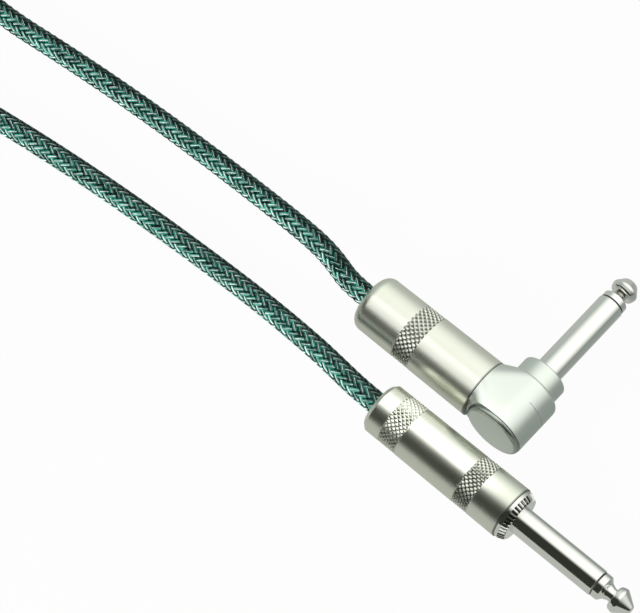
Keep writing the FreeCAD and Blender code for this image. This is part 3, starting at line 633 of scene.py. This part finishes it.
def combined(first, second, operation):
    """Two closed meshes joined, the second cut from the first, or what they share."""
    stock, tool = placed("elbow_stock", first), placed("elbow_stock", second)
    modifier = stock.modifiers.new("joined", "BOOLEAN")
    modifier.object = tool
    modifier.operation = operation
    modifier.solver = "EXACT"
    made = mesh_of(stock)
    bpy.data.objects.remove(tool)
    return made


def block(low, high):
    """A plain box to cut with, in millimetres from the elbow's centre."""
    work = bmesh.new()
    bmesh.ops.create_cube(work, size=1)
    for vert in work.verts:
        vert.co = [((low[k] + high[k]) / 2 + vert.co[k] * (high[k] - low[k]) + angle_place[k]) * mm
                   for k in range(3)]
    mesh = bpy.data.meshes.new("block")
    work.to_mesh(mesh)
    work.free()
    return mesh


def cast(mesh, grain, rounds):
    """A mesh with even faces and softened creases, as a casting has."""
    stock = placed("elbow_stock", mesh)
    modifier = stock.modifiers.new("even", "REMESH")
    modifier.mode = "VOXEL"
    modifier.voxel_size = grain * mm
    modifier = stock.modifiers.new("softened", "SMOOTH")
    modifier.iterations = rounds
    return mesh_of(stock)


# The drum and the start of the neck share one tight skin, and the rest of the neck is joined on behind it.
drum_form = turned(
    bent([(-7, 0, 0), (-7, drum_radius, 0), (drum_front, drum_radius, 1.1), (drum_front, 0, 0)]),
    cast_sides, angle_place, "y")
neck_form = turned(
    [(neck_rear, 0), (neck_rear, neck_radius), (-7.5, neck_radius), (-7.5, 0)], cast_sides, angle_place)
work = bmesh.new()
for mesh in (drum_form, neck_form):
    for vert in mesh.vertices:
        work.verts.new(vert.co)
made = bmesh.ops.convex_hull(work, input=work.verts[:])
bmesh.ops.delete(work, geom=made["geom_interior"], context="VERTS")
bmesh.ops.recalc_face_normals(work, faces=work.faces)
skin = bpy.data.meshes.new("skin")
work.to_mesh(skin)
work.free()
stub = turned([(-9.5, 0), (-9.5, neck_radius), (-7.4, neck_radius), (-7.4, 0)], cast_sides, angle_place)
drum = cast(combined(skin, stub, "UNION"), grain=0.25, rounds=5)
drum = combined(drum, block((neck_rear, cap_joint, -reach), (reach, reach, reach)), "INTERSECT")
nose = turned(
    bent([(2, 0, 0), (2, nose_radius, 0), (nose_front, nose_radius, 0.7), (nose_front, 0, 0)]),
    cast_sides, angle_place, "y")
chamber = turned(
    [(-6.5, 0), (-6.5, chamber_radius), (5.4, chamber_radius), (5.4, sleeve_bore), (12.5, sleeve_bore),
     (12.5, 0)], bore_sides, angle_place, "y")
wire_way = turned([(-9, 0), (-9, angle_boss_bore), (0, angle_boss_bore), (0, 0)], bore_sides, angle_place)
groove = combined(
    turned([(1.7, 7.03), (1.7, 8.1), (1.88, 8.1), (1.88, 7.03)], cast_sides, angle_place, "y"),
    block((3.2, 0, -reach), (reach, reach, reach)), "INTERSECT")
elbow = combined(drum, nose, "UNION")
for cutter in (chamber, wire_way, groove):
    elbow = combined(elbow, cutter, "DIFFERENCE")
boss_outline = [(angle_boss_rear, angle_boss_bore), (angle_boss_rear, 5.6), (angle_boss_edge, angle_boss)]
boss_outline += rows(angle_boss_edge, neck_rear, angle_boss)
boss_outline += [(neck_rear, angle_boss), (neck_rear, angle_boss_bore)]
boss = turned(boss_outline, 192, angle_place, shape=lambda x, radius, a: (
    threaded(x, radius, a, rear=-12.6, front=-7.9) if radius > 5.8 else radius))
work = bmesh.new()
work.from_mesh(elbow)
work.from_mesh(boss)
work.to_mesh(elbow)
work.free()
# Its dark colour is painted shade, laid on the cap's rim as a dark reflection.
casting = mottled("satin nickel on a casting", 5, (0.70, 0.75, 0.695), (0.765, 0.80, 0.75), (4, 0.06, 0.34),
                  metal=1.0, painted_shade_look=((0.09, 0.105, 0.095), 1.0))
worn_by("angle_elbow", elbow, "cable_and_plugs", casting, corner=28)

cap_outline = bent([
    (-6.7, 0, 0), (-6.7, cap_radius, 0.9), (-5.7, cap_radius, 0.06), (cap_joint, 6.85, 0),
    (cap_joint, cap_spigot, 0), (-4.0, cap_spigot, 0), (-4.0, 0, 0)])
cap = turned(cap_outline, 128, angle_place, "y")
# Painted shade: a dark band round the cap's rim, standing in for the dark reflection there.
painted_rim_shade = cap.attributes.new("painted_shade", "FLOAT", "POINT")
for i, vert in enumerate(cap.vertices):
    across, back, above = (vert.co[k] / mm - angle_place[k] for k in range(3))
    rim = (math.hypot(across, above) - painted_rim_shade_starts) / painted_rim_shade_width
    painted_rim_shade.data[i].value = painted_rim_shade_share * math.sqrt(min(1, max(0, rim))) if back < -5.6 else 0
worn_by("angle_end_cap", cap, "cable_and_plugs", casting)


# The barrels: turned steel tubes, plated satin nickel, with diamond knurling rolled round them. Each screws
# on the boss of its plug, so it rides on its own body. Shade is painted where the knurl's grooves cross.
cable_hole = 2.8
straight_shoulder, straight_mouth = -38.8, -2.25
straight_rear_radius, straight_mouth_radius, straight_inside, straight_thread_bore = 6.08, 6.25, 4.9, 5.25
straight_bands = [(-35.2, -30.2), (-14.2, -9.8)]
angle_shoulder, angle_mouth = -38.2, -7.6
angle_rear_radius, angle_mouth_radius, angle_inside, angle_thread_bore = 6.85, 7.05, 5.6, 5.95
angle_bands = [(-28.7, -23.7)]
diamonds_around, columns_a_diamond = 32, 10
knurl_depth = 0.3
knurl_fade = 0.00025
groove_width = 0.85                # as a share of the way to the middle of a diamond
crossing_starts, crossing_full = 0.1, 0.46
# How dark the painted shade in the seam at a barrel's front is.
painted_seam_shade = 0.85
knurl, asked = open_group("diamond knurling", {
    "Barrel": "Geometry", "Axis height": "Float", "Axis side": "Float", "Around": "Float", "Pitch": "Float",
    "Depth": "Float", "Front": "Float", "Rear": "Float", "Surface": "Float", "Material": "Material"})


def split(tree, vector):
    """A vector's three numbers."""
    parts = tree.node("ShaderNodeSeparateXYZ", {}, {0: vector}).socket.node
    return [Socket(tree, number) for number in parts.outputs]


lengthways, across, above = split(knurl, knurl.node("GeometryNodeInputPosition"))
across = across - asked["Axis side"]
above = above - asked["Axis height"]
radius = (across * across + above * above).math("SQRT")
around = above.math("ARCTAN2", across) * asked["Around"] / (2 * math.pi)
steps = (lengthways - asked["Rear"]) / asked["Pitch"]
one_way = (around + steps).math("PINGPONG", 0.5) * 2
other_way = (around - steps).math("PINGPONG", 0.5) * 2
groove = ramp(knurl, one_way.math("MINIMUM", other_way), 0.0, groove_width, 1.0, 0.0)
# Painted shade where the knurl's grooves cross.
painted_crossing_shade = ramp(knurl, (1 - one_way) * (1 - other_way), crossing_starts, crossing_full)
within = ramp(knurl, lengthways - asked["Rear"], 0.0, knurl_fade)
within = within * ramp(knurl, asked["Front"] - lengthways, 0.0, knurl_fade)
outside = radius.math("GREATER_THAN", asked["Surface"])
cut = groove * within * outside * asked["Depth"] / radius
away = knurl.node("ShaderNodeCombineXYZ", {}, {1: across * cut * -1, 2: above * cut * -1})
shaped = knurl.node("GeometryNodeSetPosition", {}, {"Geometry": asked["Barrel"], "Offset": away})
before = knurl.node("GeometryNodeInputNamedAttribute", {"data_type": "FLOAT"}, {"Name": "painted_shade"})
shaped = knurl.node("GeometryNodeStoreNamedAttribute", {"data_type": "FLOAT", "domain": "POINT"}, {
    "Geometry": shaped, "Name": "painted_shade", "Value": (painted_crossing_shade * within * outside).math("MAXIMUM", before)})
shaped = knurl.node("GeometryNodeRealizeInstances", {}, {"Geometry": shaped})
shaped = knurl.node("GeometryNodeSetMaterial", {}, {"Geometry": shaped, "Material": asked["Material"]})
knurl.node("NodeGroupOutput", {}, {0: shaped})

# Its dark colour is painted shade, for the knurl's crossings and the seam at each barrel's front.
satin = mottled("satin nickel", 6, (0.72, 0.74, 0.64), (0.78, 0.795, 0.72), (7, 0.05, 0.33), metal=1.0,
                painted_shade_look=((0.05, 0.055, 0.045), 0.92))


def knurled_barrel(plug, outline, place, bands, surface, pitch, seam):
    """Shows a turned barrel for its node, with knurled bands pressed into what lies outside the surface
    radius, and with painted shade in the seam at its front."""
    barrel = placed("barrel", turned(outline, diamonds_around * columns_a_diamond, place))
    for rear, front in bands:
        put_on_group(barrel, knurl, {
            "Axis side": place[1] * mm, "Axis height": place[2] * mm, "Around": float(diamonds_around),
            "Pitch": pitch * mm, "Depth": knurl_depth * mm, "Front": (front + place[0]) * mm,
            "Rear": (rear + place[0]) * mm, "Surface": surface * mm, "Material": satin})
    mesh = mesh_of(barrel)
    # Painted shade along the seam at the barrel's front.
    for vert, painted_shade in zip(mesh.vertices, mesh.attributes["painted_shade"].data):
        painted_shade.value = max(painted_shade.value, painted_seam_shade * (vert.co.x / mm - place[0] > seam))
    worn_by(plug + "_barrel", mesh, plug + "_barrel_body", satin)


def taper(rear, front, rear_radius, front_radius):
    """The outside of a barrel: its radius at any x, from its rear shoulder to its mouth."""
    return lambda x: rear_radius + (front_radius - rear_radius) * (x - rear) / (front - rear)


def band_rows(rear, front, radius_at):
    """Close rows of points for a knurled band, and one row just before and after it."""
    count = int((front - rear) / row_spacing)
    places = [rear - 0.15] + [rear + row_spacing * i for i in range(count + 1)] + [front, front + 0.15]
    return [(x, radius_at(x)) for x in places]


straight_outside = taper(straight_shoulder, straight_mouth, straight_rear_radius, straight_mouth_radius)
straight_outline = bent([
    (-36.75, straight_inside, 0), (-36.75, cable_hole, 0), (-39.75, cable_hole, 0), (-39.75, 5.25, 0.3),
    (straight_shoulder, straight_rear_radius, 0.15), (-38.0, straight_outside(-38.0), 0)])
for rear, front in straight_bands:
    straight_outline += band_rows(rear, front, straight_outside)
straight_outline += bent([
    (-2.8, straight_mouth_radius, 0), (straight_mouth, straight_mouth_radius, 0.2),
    (straight_mouth, straight_thread_bore, 0), (-9.0, straight_thread_bore, 0), (-9.0, straight_inside, 0),
    (-36.5, straight_inside, 0)])
knurled_barrel(
    "straight", straight_outline, straight_place, straight_bands, surface=5.9, pitch=1.2, seam=-2.46)

angle_outside = taper(angle_shoulder, angle_mouth, angle_rear_radius, angle_mouth_radius)
angle_outline = bent([
    (-37.2, angle_inside, 0), (-37.2, cable_hole, 0), (-40.6, cable_hole, 0), (-40.6, angle_rear_radius, 2.4),
    (-37.0, angle_outside(-37.0), 0)], steps=14)
for rear, front in angle_bands:
    angle_outline += band_rows(rear, front, angle_outside)
angle_outline += bent([
    (-8.2, angle_mouth_radius, 0), (angle_mouth, angle_mouth_radius, 0.25),
    (angle_mouth, angle_thread_bore, 0), (-14.0, angle_thread_bore, 0), (-14.0, angle_inside, 0),
    (-37.0, angle_inside, 0)])
knurled_barrel("angle", angle_outline, angle_place, angle_bands, surface=6.6, pitch=1.36, seam=-7.86)


# The tie: a strap of black woven tape, laid round the bundle of the coil's turns and closed on itself. Ribs
# run along the tape, and its threads cross them.
rib_spacing, thread_spacing = 1.3 * mm, 0.9 * mm
tape, tree = finish("black woven tape", {"Roughness": 0.75})
lengthways, crossways, upwards = split(tree, tree.node("ShaderNodeTexCoord", out=3))
ribs = (crossways * (2 * math.pi / rib_spacing)).math("SINE")
threads = ((lengthways + upwards) * (2 * math.pi / thread_spacing)).math("SINE")
weave = ribs * threads * 0.5 + 0.5
worn = weave * 0.75 + blotches(tree, 0.6) * 0.25
feed(tree, "Base Color", shade_between(tree, worn, (0.004, 0.004, 0.005), (0.06, 0.06, 0.065)))
feed(tree, "Normal", tree.node("ShaderNodeBump", {}, {"Height": weave, "Distance": 0.0002, "Strength": 0.7}))
dress("coil_tie", "cable_and_plugs", tape)


# The floor, the sky and the lamps: a white table under soft light, open to white all round. What the camera
# sees of the table is white but for the shadows, and metal mirrors a grey table and a sky with a dark front.
def rays(tree, *kinds):
    """For each kind of ray, a number that is 1 for the rays of that kind."""
    light_path = tree.node("ShaderNodeLightPath").socket.node
    return [Socket(tree, light_path.outputs[kind]) for kind in kinds]


floor_half = 3
seen_white, mirrored_bright = 0.97, 0.8
floor_mesh = bpy.data.meshes.new("floor")
floor_mesh.from_pydata([
    (-floor_half, -floor_half, 0), (floor_half, -floor_half, 0), (floor_half, floor_half, 0),
    (-floor_half, floor_half, 0)], [], [(0, 1, 2, 3)])
floor = placed("floor", floor_mesh)
floor_white = bpy.data.materials.new("white table")
floor_white.use_nodes = True
tree = Tree(floor_white.node_tree)
matt = tree.node("ShaderNodeBsdfDiffuse", {}, {"Color": (0.60, 0.62, 0.59, 1)})
seen, glossy, through = rays(tree, "Is Camera Ray", "Is Glossy Ray", "Is Transmission Ray")
# Painted shade: the table that metal mirrors is darker in the corner between the two shafts.
to_right, to_back, _ = split(tree, tree.node("ShaderNodeTexCoord", out=3))
painted_shade_between_shafts = ramp(tree, to_right, 0.002, 0.014) * ramp(tree, to_back, -0.02, -0.008)
in_metal = shade_between(tree, painted_shade_between_shafts, (0.60, 0.62, 0.58), (0.34, 0.38, 0.36))
bright = tree.node("ShaderNodeEmission", {}, {
    "Color": shade_between(tree, seen, in_metal, (1, 1, 1)), "Strength": 1.0})
share = seen * seen_white + (glossy + through) * mirrored_bright
mixed = tree.node("ShaderNodeMixShader", {}, {0: share, 1: matt, 2: bright})
tree.node("ShaderNodeOutputMaterial", {}, {"Surface": mixed})
floor_mesh.materials.append(floor_white)

world = bpy.data.worlds.new("sky")
bpy.context.scene.world = world
world.use_nodes = True
tree = Tree(world.node_tree)
# The sky that metal mirrors is brightest high up and towards the back, and its sides darken to the right.
lean_to_back, lean_to_right = 0.54, 0.24
overhead_starts, overhead_full = 0.36, 1.21
side_level, side_gain_to_back, side_loss_to_right = 0.38, 0.11, 0.18
sky_tints = ((0.9, 1.46), (1.0, 1.46), (0.95, 1.41))     # red, green and blue: at the side, overhead
dark_from_side = 0.38
to_right, to_back, to_top = split(tree, tree.node("ShaderNodeTexCoord", out=0))
height = to_top + to_back * lean_to_back + to_right * lean_to_right
overhead = ramp(tree, height, overhead_starts, overhead_full, kind="SMOOTHSTEP")
side = to_back.math("MAXIMUM", 0.0) * side_gain_to_back - to_right * side_loss_to_right + side_level
open_sky = tree.node("ShaderNodeCombineColor", {}, {
    i: side * tint + overhead * (level - side * tint) for i, (tint, level) in enumerate(sky_tints)})
dark_front = ramp(tree, to_back * -1, 0.0, dark_from_side, kind="SMOOTHSTEP")
mirrored = shade_between(tree, dark_front, open_sky, (0.035, 0.04, 0.03))
seen, glossy = rays(tree, "Is Camera Ray", "Is Glossy Ray")
lit = shade_between(tree, glossy, (0.18, 0.18, 0.18), mirrored)
background = tree.node("ShaderNodeBackground", {}, {
    "Color": shade_between(tree, seen, lit, (1, 1, 1)), "Strength": 1.0})
tree.node("ShaderNodeOutputWorld", {}, {"Surface": background})

lamp = bpy.data.lights.new("front lamp", "AREA")
lamp.energy = 12.3
lamp.size = 0.4
front_lamp = placed("front lamp", lamp)
front_lamp.location = (-0.27, -0.87, 0.45)
front_lamp.rotation_euler = facing(front_lamp.location, Vector((-0.03, 0, 0)))
front_lamp.visible_glossy = False
card = bpy.data.lights.new("card over the plugs", "AREA")
card.shape = "RECTANGLE"
card.size = 0.058
card.size_y = 0.022
card.energy = 0.0046
plug_card = placed("card over the plugs", card)
plug_card.location = (-0.025, -0.022, 0.029)
plug_card.visible_diffuse = False

bpy.context.scene.view_settings.view_transform = "Standard"
